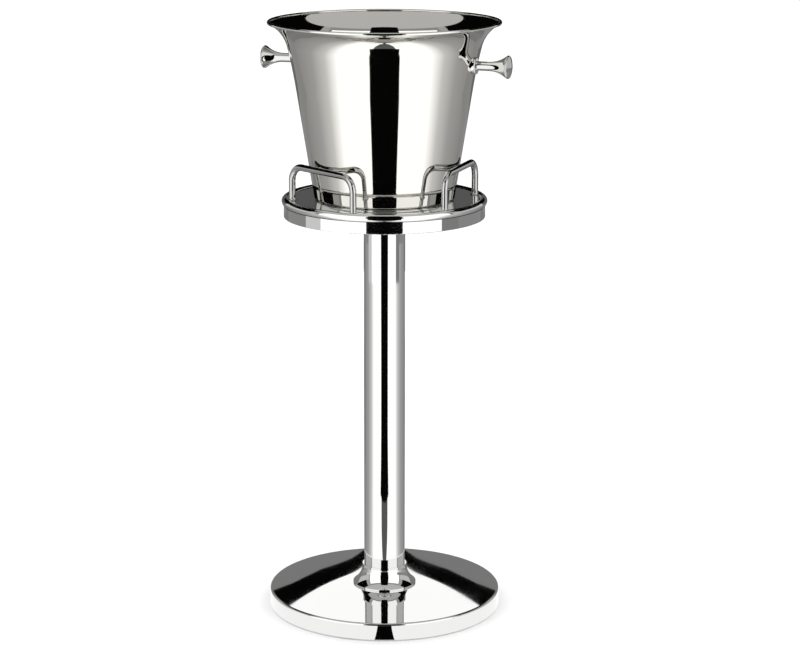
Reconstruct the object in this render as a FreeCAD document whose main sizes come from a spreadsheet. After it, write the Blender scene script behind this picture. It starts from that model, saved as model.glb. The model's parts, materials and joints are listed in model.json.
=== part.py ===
"""Champagne bucket stand: a flared steel bucket that stands on a tray on a column with a weighted round base.

Frame: origin on the floor under the middle of the base, +Z up, the bucket's two knobs along X. Millimetres.
"""

import FreeCAD, Part
import math
import os
import re

import Sketcher

# Every driving dimension: alias, value in millimetres or degrees, and what it is.
DIMENSIONS = [
    # Base
    ("base_radius", 141.5, "outer radius of the base"),
    ("base_lip_height", 1.5, "height of the base shell's lower edge above the floor"),
    ("base_edge_height", 21.8, "height at which the base's wall and its sloping top would meet"),
    ("base_edge_rounding", 2.6, "rounding between the base's wall and top"),
    ("base_land_radius", 36.0, "radius of the flat land in the middle of the base's top"),
    ("base_land_height", 25.5, "height of that land"),
    ("base_gauge", 1.2, "sheet thickness of the base shell and its cover"),
    ("cover_height", 3.8, "underside of the cover that closes the base"),
    ("cover_radius", 139.9, "radius of that cover"),
    ("weight_radius", 136.0, "radius of the cast iron disc"),
    ("weight_height", 16.0, "top of the cast iron disc"),
    ("weight_boss_radius", 33.0, "radius of the disc's middle boss"),
    ("weight_rounding", 2.0, "rounding of the casting's outer edges"),
    ("recess_radius", 18.0, "radius of the recess for the tie rod's nut"),
    ("recess_height", 18.0, "roof of that recess"),
    ("foot_radius", 12.0, "radius of a rubber foot"),
    ("foot_circle", 122.0, "radius of the circle that the feet stand on"),
    ("foot_count", 4, "number of feet, and of cover screws"),
    ("foot_chamfer", 0.8, "chamfer round the bottom of a foot"),
    ("cover_screw_radius", 2.0, "M4 cover screw"),
    ("cover_screw_length", 9.0, "length of that screw under its head"),
    ("cover_screw_head_radius", 4.0, "its head"),
    ("cover_screw_head_height", 1.8, "height of its head"),
    ("cover_screw_circle", 100.0, "radius of the circle that the cover screws are on"),
    # Collar at the foot of the column
    ("collar_radius", 38.5, "outer radius of the collar"),
    ("collar_edge", 1.8, "height of the collar's upright edge"),
    ("collar_neck_radius", 27.0, "outer radius at the collar's top"),
    ("collar_height", 50.5, "top of the collar"),
    ("collar_curve", 27.0, "radius of the collar's hollow curve"),
    ("collar_undercut_height", 33.0, "height to which the collar is hollowed from below"),
    ("collar_undercut_radius", 36.3, "radius of that hollow at the bottom"),
    # Column
    ("column_radius", 25.0, "outer radius of the column"),
    ("column_wall", 1.5, "wall of the column"),
    ("plug_gap", 0.1, "gap between the column and what fits inside or round it"),
    ("foot_plug_height", 46.0, "top of the plug in the foot of the column"),
    ("hub_spigot_height", 480.5, "lower end of the hub's spigot in the top of the column"),
    ("hub_thread_height", 500.5, "end of the hub's blind threaded hole"),
    ("tie_rod_radius", 5.0, "M10 tie rod"),
    ("tie_rod_foot", 5.6, "lower end of the tie rod"),
    ("tie_rod_head", 498.5, "upper end of the tie rod"),
    ("thread_gap", 0.05, "gap at a thread"),
    ("rod_clearance", 0.5, "gap where the tie rod passes through a hole"),
    ("nut_corner_radius", 9.8, "centre to corner of the M10 nut"),
    ("nut_height", 8.0, "height of that nut"),
    ("washer_radius", 10.5, "plain washer"),
    ("washer_height", 2.0, "its thickness"),
    ("spring_washer_radius", 9.0, "split spring washer"),
    ("spring_washer_height", 2.2, "its thickness"),
    ("spring_washer_split", 1.5, "width of its split"),
    # Tray
    ("seat_height", 509.0, "top of the tray's plate, on which the bucket stands"),
    ("tray_gauge", 1.5, "sheet thickness of the tray's plate and skirt"),
    ("plate_radius", 113.2, "radius of the plate, which meets the inside of the ring"),
    ("ring_radius", 118.0, "centre circle of the ring round the tray"),
    ("ring_height", 506.0, "height of the ring's centre"),
    ("ring_rod_radius", 5.0, "radius of the ring's rod"),
    ("skirt_radius", 120.5, "outer radius of the skirt under the ring"),
    ("skirt_top", 501.1, "upper edge of the skirt, against the ring"),
    ("skirt_bottom", 487.0, "lower edge of the skirt"),
    ("skirt_edge_rounding", 0.6, "rounding of the skirt's lower edge"),
    # Guard loops
    ("loop_reach", 95.0, "distance of a loop's plane from the axis"),
    ("loop_half_width", 57.0, "half the distance between a loop's legs"),
    ("loop_height", 550.0, "height of a loop's bar, at its centre"),
    ("loop_bend", 18.0, "bend radius at a loop's corners, at the rod's centre"),
    ("loop_rod_radius", 4.0, "radius of a loop's rod"),
    ("loop_count", 3, "number of loops"),
    # Bucket
    ("bucket_wall", 1.2, "wall of the bucket"),
    ("bucket_raise", 2.5, "height by which the middle of the bucket's bottom is raised"),
    ("bucket_raise_radius", 52.0, "radius of the raised middle"),
    ("bucket_raise_run", 8.0, "width of the slope round the raised middle"),
    ("bucket_base_radius", 83.8, "outer radius of the bucket's wall, carried down to its underside"),
    ("bucket_base_rounding", 3.0, "rounding between the bucket's wall and bottom"),
    ("waist_height", 640.0, "height where the straight taper ends"),
    ("waist_angle", 9.07, "lean of the straight taper"),
    ("waist_curve", 593.3, "radius of the gentle curve above the straight taper"),
    ("throat_angle", 14.0, "lean of the wall where the lip begins to flare"),
    ("flare_curve", 41.4, "radius of the lip's flare"),
    ("rim_angle", 62.7, "lean of the flare where it meets the rolled edge"),
    ("rolled_edge_radius", 1.9, "radius of the rolled edge's section"),
    ("rolled_edge_out", 0.3, "distance of the rolled edge's centre outside the flare's end"),
    ("total_height", 720.0, "top of the rolled edge above the floor"),
    # Knobs
    ("knob_height", 671.0, "height of the knobs' axis"),
    ("knob_foot", 114.6, "distance of a knob's inner end from the bucket's axis"),
    ("knob_neck_radius", 5.5, "radius of a knob's neck"),
    ("knob_flare_start", 129.0, "where a knob begins to flare"),
    ("knob_flare_end", 151.5, "where a knob is widest"),
    ("knob_flare_curve", 36.0, "radius of a knob's hollow flare"),
    ("knob_head_radius", 13.5, "largest radius of a knob"),
    ("knob_shoulder", 154.0, "where a knob's rounded edge meets its domed end"),
    ("knob_shoulder_radius", 12.0, "radius of the domed end"),
    ("knob_edge_curve", 1.7, "rounding of a knob's edge"),
    ("knob_end", 156.5, "outer end of a knob"),
    ("knob_dome_curve", 30.0, "radius of the domed end"),
    ("rosette_radius", 10.0, "radius of the collar between a knob and the bucket"),
    ("rosette_root", 104.0, "inner end of that collar before it is shaped to the bucket"),
    ("rosette_rounding", 1.2, "rounding of that collar's outer edge"),
    ("knob_screw_radius", 2.5, "M5 screw that holds a knob"),
    ("knob_screw_end", 125.0, "outer end of that screw"),
    ("knob_screw_seat", 107.2, "where the screw's head begins"),
    ("knob_screw_head_radius", 4.8, "radius of its head"),
    ("knob_screw_head_height", 3.4, "height of its head"),
    ("knob_screw_rounding", 1.2, "rounding of its head"),
    ("knob_bore_end", 127.0, "end of a knob's threaded hole"),
    ("seal_radius", 7.0, "radius of the rubber seal under a screw's head"),
    ("shape_gap", 0.05, "gap between the bucket's wall and what is shaped to it"),
]

SHEET = "sizes"
ALIASES = {alias: f"{SHEET}.{alias}" for alias, _, _ in DIMENSIONS}
FULL_TURN = 360.0
HALF_TURN = 180.0

doc = FreeCAD.newDocument("champagne_bucket_stand")


def make_sheet():
    """Writes the driving dimensions into the document's sheet."""
    sheet = doc.addObject("Spreadsheet::Sheet", SHEET)
    for row, (alias, value, meaning) in enumerate(DIMENSIONS, start=1):
        sheet.set(f"A{row}", meaning)
        sheet.set(f"B{row}", str(value))
        sheet.setAlias(f"B{row}", alias)
    doc.recompute()
    return sheet


sheet = make_sheet()


def qualified(expression):
    """An expression in the aliases' short names, with each alias given its sheet's name."""
    return re.sub(r"[a-z_]+", lambda word: ALIASES.get(word.group(), word.group()), expression)


def value_of(expression):
    """The number that an expression has with the sheet's present values."""
    result = sheet.evalExpression(qualified(expression))
    return float(getattr(result, "Value", result))


def bind(target, name, expression):
    """Drives one property of an object from the sheet."""
    target.setExpression(name, qualified(expression))


def origin_feature(body, role):
    """One of a body's own origin planes or axes."""
    return next(feature for feature in body.Origin.OriginFeatures if feature.Role == role)


def new_body(label):
    body = doc.addObject("PartDesign::Body", label)
    body.Label = label
    return body


def new_sketch(body, name, plane, offset=None):
    """A sketch on one of the body's own origin planes, moved out along its normal by an expression."""
    sketch = body.newObject("Sketcher::SketchObject", name)
    sketch.AttachmentSupport = [(origin_feature(body, plane), "")]
    sketch.MapMode = "FlatFace"
    if offset:
        bind(sketch, "AttachmentOffset.Base.z", offset)
    doc.recompute()
    return sketch


def fix_point(sketch, edge, end, place):
    """Holds one end of an edge at a place given by two expressions, across and up."""
    for kind, expression in zip(("DistanceX", "DistanceY"), place):
        number = value_of(expression)
        index = sketch.addConstraint(Sketcher.Constraint(kind, -1, 1, edge, end, number))
        if number:
            bind(sketch, f"Constraints[{index}]", expression)


def arc_between(start, end, radius, turns_left):
    """The shorter arc from start to end; turns_left says which way it bends as it is followed."""
    chord = end - start
    to_centre = math.sqrt(radius**2 - (chord.Length / 2) ** 2)
    left = FreeCAD.Vector(-chord.y, chord.x, 0).normalize()
    centre = (start + end) / 2 + left * (to_centre if turns_left else -to_centre)
    first, last = (start, end) if turns_left else (end, start)
    angles = [math.atan2(point.y - centre.y, point.x - centre.x) for point in (first, last)]
    circle = Part.Circle(centre, FreeCAD.Vector(0, 0, 1), radius)
    return Part.ArcOfCircle(circle, *angles)


def draw_outline(sketch, corners, curves=None, closed=True):
    """Draws an outline through corners, each a pair of expressions.

    curves gives the edges that are arcs: corner index to (radius expression, turns left).
    """
    curves = curves or {}
    points = [FreeCAD.Vector(value_of(across), value_of(up), 0) for across, up in corners]
    edge_count = len(corners) if closed else len(corners) - 1
    ends = []
    for index in range(edge_count):
        start, end = points[index], points[(index + 1) % len(points)]
        if index in curves:
            radius, turns_left = curves[index]
            edge = sketch.addGeometry(arc_between(start, end, value_of(radius), turns_left))
            ends.append((edge, 1, 2) if turns_left else (edge, 2, 1))
        else:
            edge = sketch.addGeometry(Part.LineSegment(start, end))
            ends.append((edge, 1, 2))
    for index in range(edge_count if closed else edge_count - 1):
        edge, _, tail = ends[index]
        next_edge, head, _ = ends[(index + 1) % edge_count]
        sketch.addConstraint(Sketcher.Constraint("Coincident", edge, tail, next_edge, head))
    for index, (edge, head, _) in enumerate(ends):
        fix_point(sketch, edge, head, corners[index])
    if not closed:
        fix_point(sketch, ends[-1][0], ends[-1][2], corners[-1])
    for index, (radius, _) in curves.items():
        edge = ends[index][0]
        constraint = sketch.addConstraint(Sketcher.Constraint("Radius", edge, value_of(radius)))
        bind(sketch, f"Constraints[{constraint}]", radius)


def draw_circle(sketch, centre, radius):
    """A circle whose centre and radius are expressions."""
    middle = FreeCAD.Vector(value_of(centre[0]), value_of(centre[1]), 0)
    edge = sketch.addGeometry(Part.Circle(middle, FreeCAD.Vector(0, 0, 1), value_of(radius)))
    fix_point(sketch, edge, 3, centre)
    constraint = sketch.addConstraint(Sketcher.Constraint("Radius", edge, value_of(radius)))
    bind(sketch, f"Constraints[{constraint}]", radius)


def revolve(body, sketch, name, axis="V_Axis"):
    feature = body.newObject("PartDesign::Revolution", name)
    feature.Profile = sketch
    feature.ReferenceAxis = (sketch, [axis])
    feature.Angle = FULL_TURN
    doc.recompute()
    return feature


def turned_body(label, corners, curves=None, axis="V_Axis"):
    """A body turned about its own Z axis, or about its X axis when axis is H_Axis."""
    body = new_body(label)
    sketch = new_sketch(body, f"{label}_outline", "XZ_Plane")
    draw_outline(sketch, corners, curves)
    revolve(body, sketch, f"{label}_turning", axis)
    return body


def ring_edges(body, places):
    """Names of the circular edges about Z that have one of the places, each (radius, height)."""
    numbers = [(value_of(radius), value_of(height)) for radius, height in places]
    names = []
    for index, edge in enumerate(body.Tip.Shape.Edges, start=1):
        if not isinstance(edge.Curve, Part.Circle):
            continue
        for radius, height in numbers:
            same_radius = math.isclose(edge.Curve.Radius, radius, abs_tol=1e-4)
            if same_radius and math.isclose(edge.Curve.Center.z, height, abs_tol=1e-4):
                names.append(f"Edge{index}")
    return names


def end_edges(body, distance, radius):
    """Names of the circular edges about X at a distance along X, with a given radius."""
    names = []
    for index, edge in enumerate(body.Tip.Shape.Edges, start=1):
        if not isinstance(edge.Curve, Part.Circle):
            continue
        same_radius = math.isclose(edge.Curve.Radius, value_of(radius), abs_tol=1e-4)
        if same_radius and math.isclose(edge.Curve.Center.x, value_of(distance), abs_tol=1e-4):
            names.append(f"Edge{index}")
    return names


def round_edges(body, name, edges, radius):
    base = body.Tip
    fillet = body.newObject("PartDesign::Fillet", name)
    fillet.Base = (base, edges)
    bind(fillet, "Radius", radius)
    doc.recompute()
    return fillet


def pad(body, sketch, name, length):
    feature = body.newObject("PartDesign::Pad", name)
    feature.Profile = sketch
    bind(feature, "Length", length)
    doc.recompute()
    return feature


def repeat_round_z(body, name, features, count):
    """Repeats features round the body's Z axis; the copies stay separate solids."""
    pattern = body.newObject("PartDesign::PolarPattern", name)
    pattern.Originals = features
    pattern.Axis = (origin_feature(body, "Z_Axis"), [""])
    pattern.Angle = FULL_TURN
    bind(pattern, "Occurrences", count)
    body.Tip = pattern
    doc.recompute()
    return pattern


def cut(label, base, tool):
    result = doc.addObject("Part::Cut", label)
    result.Label = label
    result.Base = base
    result.Tool = tool
    doc.recompute()
    return result


def turn_about_z(body, degrees):
    body.Placement.Rotation = FreeCAD.Rotation(FreeCAD.Vector(0, 0, 1), degrees)


# Base ---------------------------------------------------------------------------------------------


def make_base_shell():
    """Pressed shell: upright wall, rounded edge, sloping top and a flat land in the middle."""
    inner = "base_radius - base_gauge"
    corners = [
        ("tie_rod_radius + rod_clearance", "base_land_height"),
        ("base_land_radius", "base_land_height"),
        ("base_radius", "base_edge_height"),
        ("base_radius", "base_lip_height"),
        (inner, "base_lip_height"),
        (inner, "base_edge_height - base_gauge"),
        ("base_land_radius", "base_land_height - base_gauge"),
        ("tie_rod_radius + rod_clearance", "base_land_height - base_gauge"),
    ]
    body = turned_body("base_shell", corners)
    outer_edge = ring_edges(body, [("base_radius", "base_edge_height")])
    round_edges(body, "base_shell_edge", outer_edge, "base_edge_rounding")
    inner_edge = ring_edges(body, [(inner, "base_edge_height - base_gauge")])
    round_edges(body, "base_shell_inner_edge", inner_edge, "base_edge_rounding - base_gauge")
    return body


def make_base_weight():
    """Cast iron disc with a middle boss above and a recess for the nut below."""
    bottom = "cover_height + base_gauge"
    corners = [
        ("tie_rod_radius + rod_clearance", "base_land_height - base_gauge"),
        ("weight_boss_radius", "base_land_height - base_gauge"),
        ("weight_boss_radius", "weight_height"),
        ("weight_radius", "weight_height"),
        ("weight_radius", bottom),
        ("recess_radius", bottom),
        ("recess_radius", "recess_height"),
        ("tie_rod_radius + rod_clearance", "recess_height"),
    ]
    body = turned_body("base_weight", corners)
    rims = ring_edges(body, [("weight_radius", "weight_height"), ("weight_radius", bottom)])
    round_edges(body, "base_weight_edges", rims, "weight_rounding")
    sketch = new_sketch(body, "base_weight_screw_hole", "XY_Plane")
    draw_circle(sketch, ("cover_screw_circle", "0"), "cover_screw_radius + thread_gap")
    hole = body.newObject("PartDesign::Pocket", "base_weight_hole")
    hole.Profile = sketch
    hole.Reversed = True
    bind(hole, "Length", "cover_height + base_gauge + cover_screw_length")
    doc.recompute()
    repeat_round_z(body, "base_weight_holes", [hole], "foot_count")
    turn_about_z(body, HALF_TURN / value_of("foot_count"))
    return body


def make_base_cover():
    """Steel disc that closes the base from below, with holes for its screws."""
    body = new_body("base_cover")
    sketch = new_sketch(body, "base_cover_disc", "XY_Plane", "cover_height")
    draw_circle(sketch, ("0", "0"), "cover_radius")
    pad(body, sketch, "base_cover_sheet", "base_gauge")
    hole_sketch = new_sketch(body, "base_cover_hole_sketch", "XY_Plane")
    draw_circle(hole_sketch, ("cover_screw_circle", "0"), "cover_screw_radius + rod_clearance")
    hole = body.newObject("PartDesign::Pocket", "base_cover_hole")
    hole.Profile = hole_sketch
    hole.Reversed = True
    bind(hole, "Length", "cover_height + base_gauge")
    doc.recompute()
    repeat_round_z(body, "base_cover_holes", [hole], "foot_count")
    turn_about_z(body, HALF_TURN / value_of("foot_count"))
    return body


def make_cover_screws():
    """Pan-head screws that hold the cover to the cast iron disc."""
    body = new_body("cover_screws")
    head_sketch = new_sketch(body, "cover_screw_head", "XY_Plane", "cover_height - cover_screw_head_height")
    draw_circle(head_sketch, ("cover_screw_circle", "0"), "cover_screw_head_radius")
    head = pad(body, head_sketch, "cover_screw_head_pad", "cover_screw_head_height")
    shank_sketch = new_sketch(body, "cover_screw_shank", "XY_Plane", "cover_height")
    draw_circle(shank_sketch, ("cover_screw_circle", "0"), "cover_screw_radius")
    shank = pad(body, shank_sketch, "cover_screw_shank_pad", "cover_screw_length")
    repeat_round_z(body, "cover_screw_set", [head, shank], "foot_count")
    turn_about_z(body, HALF_TURN / value_of("foot_count"))
    return body


def make_rubber_feet():
    """Rubber pads stuck under the cover; they stand a little below the shell's edge."""
    body = new_body("rubber_feet")
    sketch = new_sketch(body, "rubber_foot_disc", "XY_Plane")
    draw_circle(sketch, ("foot_circle", "0"), "foot_radius")
    disc = pad(body, sketch, "rubber_foot_pad", "cover_height")
    bottom_edge = ring_edges(body, [("foot_radius", "0")])
    chamfer = body.newObject("PartDesign::Chamfer", "rubber_foot_chamfer")
    chamfer.Base = (disc, bottom_edge)
    bind(chamfer, "Size", "foot_chamfer")
    doc.recompute()
    repeat_round_z(body, "rubber_foot_set", [disc, chamfer], "foot_count")
    return body


# Column -------------------------------------------------------------------------------------------


def make_base_collar():
    """Collar at the column's foot: a narrow neck that sweeps out to an upright edge, hollow below."""
    bore = "column_radius + plug_gap"
    corners = [
        (bore, "collar_height"),
        ("collar_neck_radius", "collar_height"),
        ("collar_radius", "base_land_height + collar_edge"),
        ("collar_radius", "base_land_height"),
        ("collar_undercut_radius", "base_land_height"),
        (bore, "collar_undercut_height"),
    ]
    return turned_body("base_collar", corners, {1: ("collar_curve", True)})


def make_column_tube():
    inner = "column_radius - column_wall"
    corners = [
        (inner, "base_land_height"),
        ("column_radius", "base_land_height"),
        ("column_radius", "seat_height - tray_gauge"),
        (inner, "seat_height - tray_gauge"),
    ]
    return turned_body("column_tube", corners)


def make_column_foot_plug():
    """Plug that centres the foot of the column on the tie rod."""
    outer = "column_radius - column_wall - plug_gap"
    corners = [
        ("tie_rod_radius + rod_clearance", "base_land_height"),
        (outer, "base_land_height"),
        (outer, "foot_plug_height"),
        ("tie_rod_radius + rod_clearance", "foot_plug_height"),
    ]
    return turned_body("column_foot_plug", corners)


def make_tray_hub():
    """Boss welded under the tray; it fills the column's top and takes the tie rod's thread."""
    outer = "column_radius - column_wall - plug_gap"
    underside = "seat_height - tray_gauge"
    corners = [
        ("0", underside),
        (outer, underside),
        (outer, "hub_spigot_height"),
        ("tie_rod_radius + thread_gap", "hub_spigot_height"),
        ("tie_rod_radius + thread_gap", "hub_thread_height"),
        ("0", "hub_thread_height"),
    ]
    return turned_body("tray_hub", corners)


def make_tie_rod():
    corners = [
        ("0", "tie_rod_foot"),
        ("tie_rod_radius", "tie_rod_foot"),
        ("tie_rod_radius", "tie_rod_head"),
        ("0", "tie_rod_head"),
    ]
    return turned_body("tie_rod", corners)


def make_tie_rod_washer():
    inner = "tie_rod_radius + rod_clearance"
    bottom = "recess_height - washer_height"
    corners = [
        (inner, bottom),
        ("washer_radius", bottom),
        ("washer_radius", "recess_height"),
        (inner, "recess_height"),
    ]
    return turned_body("tie_rod_washer", corners)


def make_tie_rod_spring_washer():
    """Ring with a split, between the plain washer and the nut."""
    inner = "tie_rod_radius + rod_clearance"
    top = "recess_height - washer_height"
    bottom = f"{top} - spring_washer_height"
    corners = [(inner, bottom), ("spring_washer_radius", bottom), ("spring_washer_radius", top), (inner, top)]
    ring = turned_body("spring_washer_ring", corners)
    gap = doc.addObject("Part::Box", "spring_washer_gap")
    bind(gap, "Length", "spring_washer_radius + rod_clearance")
    bind(gap, "Width", "spring_washer_split")
    bind(gap, "Height", "recess_height")
    return cut("tie_rod_spring_washer", ring, gap)


def make_tie_rod_nut():
    prism = doc.addObject("Part::Prism", "nut_blank")
    prism.Polygon = 6
    bind(prism, "Circumradius", "nut_corner_radius")
    bind(prism, "Height", "nut_height")
    bind(prism, "Placement.Base.z", "recess_height - washer_height - spring_washer_height - nut_height")
    bore = doc.addObject("Part::Cylinder", "nut_bore")
    bind(bore, "Radius", "tie_rod_radius + thread_gap")
    bind(bore, "Height", "recess_height")
    return cut("tie_rod_nut", prism, bore)


# Tray ---------------------------------------------------------------------------------------------


def make_tray_plate():
    """Flat round plate that the bucket stands on, welded inside the ring."""
    body = new_body("tray_plate")
    sketch = new_sketch(body, "tray_plate_disc", "XY_Plane", "seat_height - tray_gauge")
    draw_circle(sketch, ("0", "0"), "plate_radius")
    pad(body, sketch, "tray_plate_sheet", "tray_gauge")
    return body


def make_tray_rim_ring():
    """Round rod bent to a ring round the plate, its top a little over it."""
    body = new_body("tray_rim_ring")
    sketch = new_sketch(body, "tray_rim_ring_section", "XZ_Plane")
    draw_circle(sketch, ("ring_radius", "ring_height"), "ring_rod_radius")
    revolve(body, sketch, "tray_rim_ring_turning")
    return body


def make_tray_skirt():
    """Short upright band welded under the ring."""
    inner = "skirt_radius - tray_gauge"
    corners = [
        (inner, "skirt_bottom"),
        ("skirt_radius", "skirt_bottom"),
        ("skirt_radius", "skirt_top"),
        (inner, "skirt_top"),
    ]
    body = turned_body("tray_skirt", corners)
    lower_edges = ring_edges(body, [("skirt_radius", "skirt_bottom"), (inner, "skirt_bottom")])
    round_edges(body, "tray_skirt_edge", lower_edges, "skirt_edge_rounding")
    return body


def make_guard_loop(label, azimuth, rim_ring):
    """Rod bent to an upright loop, its two feet on the tray's plate and shaped to the inside of the ring."""
    body = new_body(f"{label}_blank")
    path = new_sketch(body, f"{label}_path", "YZ_Plane", "loop_reach")
    side = "loop_half_width"
    turn = "loop_half_width - loop_bend"
    shoulder = "loop_height - loop_bend"
    corners = [
        (f"0 - {side}", "seat_height"),
        (f"0 - {side}", shoulder),
        (f"0 - ({turn})", "loop_height"),
        (turn, "loop_height"),
        (side, shoulder),
        (side, "seat_height"),
    ]
    bends = {1: ("loop_bend", False), 3: ("loop_bend", False)}
    draw_outline(path, corners, bends, closed=False)
    section = new_sketch(body, f"{label}_section", "XY_Plane", "seat_height")
    draw_circle(section, ("loop_reach", f"0 - {side}"), "loop_rod_radius")
    pipe = body.newObject("PartDesign::AdditivePipe", f"{label}_rod")
    pipe.Profile = section
    pipe.Spine = (path, [f"Edge{index + 1}" for index in range(path.GeometryCount)])
    doc.recompute()
    turn_about_z(body, azimuth)
    return cut(label, body, rim_ring)


# Bucket -------------------------------------------------------------------------------------------


WAIST_RADIUS = "(bucket_base_radius + (waist_height - seat_height) * tan(waist_angle))"
THROAT_RADIUS = f"({WAIST_RADIUS} + waist_curve * (cos(waist_angle) - cos(throat_angle)))"
THROAT_HEIGHT = "(waist_height + waist_curve * (sin(throat_angle) - sin(waist_angle)))"
RIM_RADIUS = f"({THROAT_RADIUS} + flare_curve * (cos(throat_angle) - cos(rim_angle)))"
RIM_HEIGHT = f"({THROAT_HEIGHT} + flare_curve * (sin(rim_angle) - sin(throat_angle)))"

# The bucket's outer surface from bottom to lip: radius, height and lean of the wall.
WALL_STATIONS = [
    ("bucket_base_radius", "seat_height", "waist_angle"),
    (WAIST_RADIUS, "waist_height", "waist_angle"),
    (THROAT_RADIUS, THROAT_HEIGHT, "throat_angle"),
    (RIM_RADIUS, RIM_HEIGHT, "rim_angle"),
]


def inside_of(station, depth):
    """The place a given depth inside the wall's outer surface, square to it."""
    radius, height, lean = station
    return (f"{radius} - ({depth}) * cos({lean})", f"{height} + ({depth}) * sin({lean})")


def make_bucket_shell():
    """Spun bucket: raised bottom, leaning wall, flared lip and rolled edge, with a hole for each knob's screw."""
    outer = WALL_STATIONS
    raised = "seat_height + bucket_raise"
    slope_end = "bucket_raise_radius + bucket_raise_run"
    corners = [("0", raised), ("bucket_raise_radius", raised), (slope_end, "seat_height")]
    first_wall = len(corners)
    corners += [(radius, height) for radius, height, _ in outer]
    corners += [inside_of(station, "bucket_wall") for station in reversed(outer[1:])]
    corners += [
        ("bucket_base_radius - bucket_wall", "seat_height + bucket_wall"),
        (slope_end, "seat_height + bucket_wall"),
        ("bucket_raise_radius", f"{raised} + bucket_wall"),
        ("0", f"{raised} + bucket_wall"),
    ]
    rim = first_wall + len(outer) - 1
    curves = {
        first_wall + 1: ("waist_curve", False),
        first_wall + 2: ("flare_curve", False),
        rim + 1: ("flare_curve + bucket_wall", True),
        rim + 2: ("waist_curve + bucket_wall", True),
    }
    body = turned_body("bucket_shell", corners, curves)
    edge_sketch = new_sketch(body, "rolled_edge_section", "XZ_Plane")
    edge_centre = (f"{RIM_RADIUS} + rolled_edge_out", "total_height - rolled_edge_radius")
    draw_circle(edge_sketch, edge_centre, "rolled_edge_radius")
    revolve(body, edge_sketch, "rolled_edge")
    outer_corner = ring_edges(body, [("bucket_base_radius", "seat_height")])
    round_edges(body, "bucket_base_corner", outer_corner, "bucket_base_rounding")
    inner_place = ("bucket_base_radius - bucket_wall", "seat_height + bucket_wall")
    inner_corner = ring_edges(body, [inner_place])
    round_edges(body, "bucket_inner_corner", inner_corner, "bucket_base_rounding - bucket_wall")
    hole_sketch = new_sketch(body, "knob_screw_hole_sketch", "YZ_Plane")
    draw_circle(hole_sketch, ("0", "knob_height"), "knob_screw_radius + rod_clearance")
    hole = body.newObject("PartDesign::Pocket", "knob_screw_holes")
    hole.Profile = hole_sketch
    hole.Midplane = True
    bind(hole, "Length", f"{RIM_RADIUS} * 2")
    doc.recompute()
    return body


def make_wall_form(label, depth):
    """Solid whose side is the bucket's wall at a given depth; it shapes the pieces that lie against the wall."""
    side = [inside_of(station, depth) for station in WALL_STATIONS[:-1]]
    corners = [("0", side[0][1])] + side + [("0", side[-1][1])]
    return turned_body(label, corners, {2: (f"waist_curve + ({depth})", False)})


def set_knob_side(body, is_left):
    """Raises a piece turned about X to the knobs' axis, and faces it to -X on the left side."""
    turn_about_z(body, HALF_TURN if is_left else 0)
    bind(body, "Placement.Base.z", "knob_height")


def make_knob(label, is_left):
    """Turned knob: neck, hollow flare, rounded edge and domed end, with a threaded hole from inside."""
    bore = "knob_screw_radius + thread_gap"
    corners = [
        ("knob_foot", bore),
        ("knob_foot", "knob_neck_radius"),
        ("knob_flare_start", "knob_neck_radius"),
        ("knob_flare_end", "knob_head_radius"),
        ("knob_shoulder", "knob_shoulder_radius"),
        ("knob_end", "0"),
        ("knob_bore_end", "0"),
        ("knob_bore_end", bore),
    ]
    curves = {
        2: ("knob_flare_curve", True),
        3: ("knob_edge_curve", False),
        4: ("knob_dome_curve", False),
    }
    body = turned_body(label, corners, curves, axis="H_Axis")
    set_knob_side(body, is_left)
    return body


def make_knob_collar(label, is_left, wall_form):
    """Rosette between a knob and the bucket, its back shaped to the wall."""
    inner = "knob_screw_radius + rod_clearance"
    corners = [
        ("rosette_root", inner),
        ("rosette_root", "rosette_radius"),
        ("knob_foot", "rosette_radius"),
        ("knob_foot", inner),
    ]
    blank = turned_body(f"{label}_blank", corners, axis="H_Axis")
    edges = end_edges(blank, "knob_foot", "rosette_radius")
    round_edges(blank, f"{label}_edge", edges, "rosette_rounding")
    set_knob_side(blank, is_left)
    return cut(label, blank, wall_form)


def both_sides(label, right, left):
    """Joins a right-hand and a left-hand piece into one node of two separate solids."""
    pair = doc.addObject("Part::Compound", label)
    pair.Label = label
    pair.Links = [right, left]
    return pair


def make_knob_screw(label, is_left):
    """Screw that holds a knob, its rounded head inside the bucket."""
    head_end = "knob_screw_seat - knob_screw_head_height"
    corners = [
        (head_end, "0"),
        (head_end, "knob_screw_head_radius"),
        ("knob_screw_seat", "knob_screw_head_radius"),
        ("knob_screw_seat", "knob_screw_radius"),
        ("knob_screw_end", "knob_screw_radius"),
        ("knob_screw_end", "0"),
    ]
    body = turned_body(label, corners, axis="H_Axis")
    edges = end_edges(body, head_end, "knob_screw_head_radius")
    round_edges(body, f"{label}_head", edges, "knob_screw_rounding")
    set_knob_side(body, is_left)
    return body


def make_knob_seal(label, is_left, wall_form):
    """Rubber washer under the screw's head, pressed to the shape of the wall's inside."""
    inner = "knob_screw_radius + thread_gap"
    corners = [
        ("knob_screw_seat", inner),
        ("knob_screw_seat", "seal_radius"),
        ("knob_foot", "seal_radius"),
        ("knob_foot", inner),
    ]
    blank = turned_body(f"{label}_blank", corners, axis="H_Axis")
    set_knob_side(blank, is_left)
    seal = doc.addObject("Part::Common", label)
    seal.Base = blank
    seal.Tool = wall_form
    doc.recompute()
    return seal


# Assembly -----------------------------------------------------------------------------------------


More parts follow.
